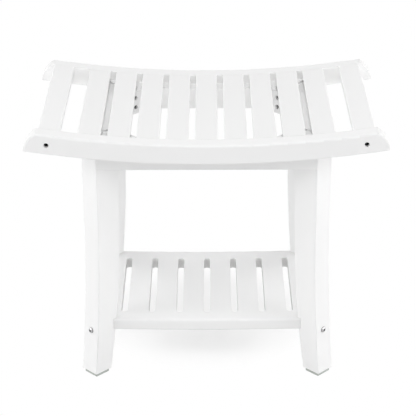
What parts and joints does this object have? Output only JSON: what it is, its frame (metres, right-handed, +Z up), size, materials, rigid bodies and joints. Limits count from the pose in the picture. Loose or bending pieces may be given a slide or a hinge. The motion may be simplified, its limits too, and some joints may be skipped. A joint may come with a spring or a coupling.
{
  "type": "bath stool",
  "caption": "White plastic-lumber bath stool: curved slatted seat with open hand gaps, diagonal curved legs, and a slotted shelf below.",
  "frame": {"origin": "on the floor, under the middle of the seat", "axes": "+Z up, -Y towards the front, +X to the right seen from the front"},
  "size_m": [0.5838, 0.355, 0.4572],
  "materials": {
    "white_board": "satin, fine moulded texture",
    "foot_pad_rubber": "matte",
    "black_screw": "black oxide, satin",
    "stainless_steel": "turned, bright",
    "brass_insert": "turned",
    "beech_dowel": "fluted beech, raw"
  },
  "bodies": {
    "root": {"front_seat_rail": "white_board", "rear_seat_rail": "white_board", "left_end_slat": "white_board", "right_end_slat": "white_board", "seat_slat_1": "white_board", "seat_slat_2": "white_board", "seat_slat_3": "white_board", "seat_slat_4": "white_board", "seat_slat_5": "white_board", "seat_slat_6": "white_board", "seat_slat_7": "white_board", "seat_slat_8": "white_board", "seat_slat_9": "white_board", "front_apron": "white_board", "rear_apron": "white_board", "left_side_apron": "white_board", "right_side_apron": "white_board", "shelf": "white_board", "front_left_leg": "white_board", "front_left_corner_block": "white_board", "front_left_foot_pad": "foot_pad_rubber", "front_right_leg": "white_board", "front_right_corner_block": "white_board", "front_right_foot_pad": "foot_pad_rubber", "rear_left_leg": "white_board", "rear_left_corner_block": "white_board", "rear_left_foot_pad": "foot_pad_rubber", "rear_right_leg": "white_board", "rear_right_corner_block": "white_board", "rear_right_foot_pad": "foot_pad_rubber", "end_slat_screws": "black_screw", "corner_block_screws": "black_screw", "slat_screws": "stainless_steel", "rail_screws": "stainless_steel", "shelf_screws": "stainless_steel", "leg_bolts": "stainless_steel", "leg_bolt_washers": "stainless_steel", "leg_inserts": "brass_insert", "end_slat_dowels": "beech_dowel"}
  },
  "joints": []
}
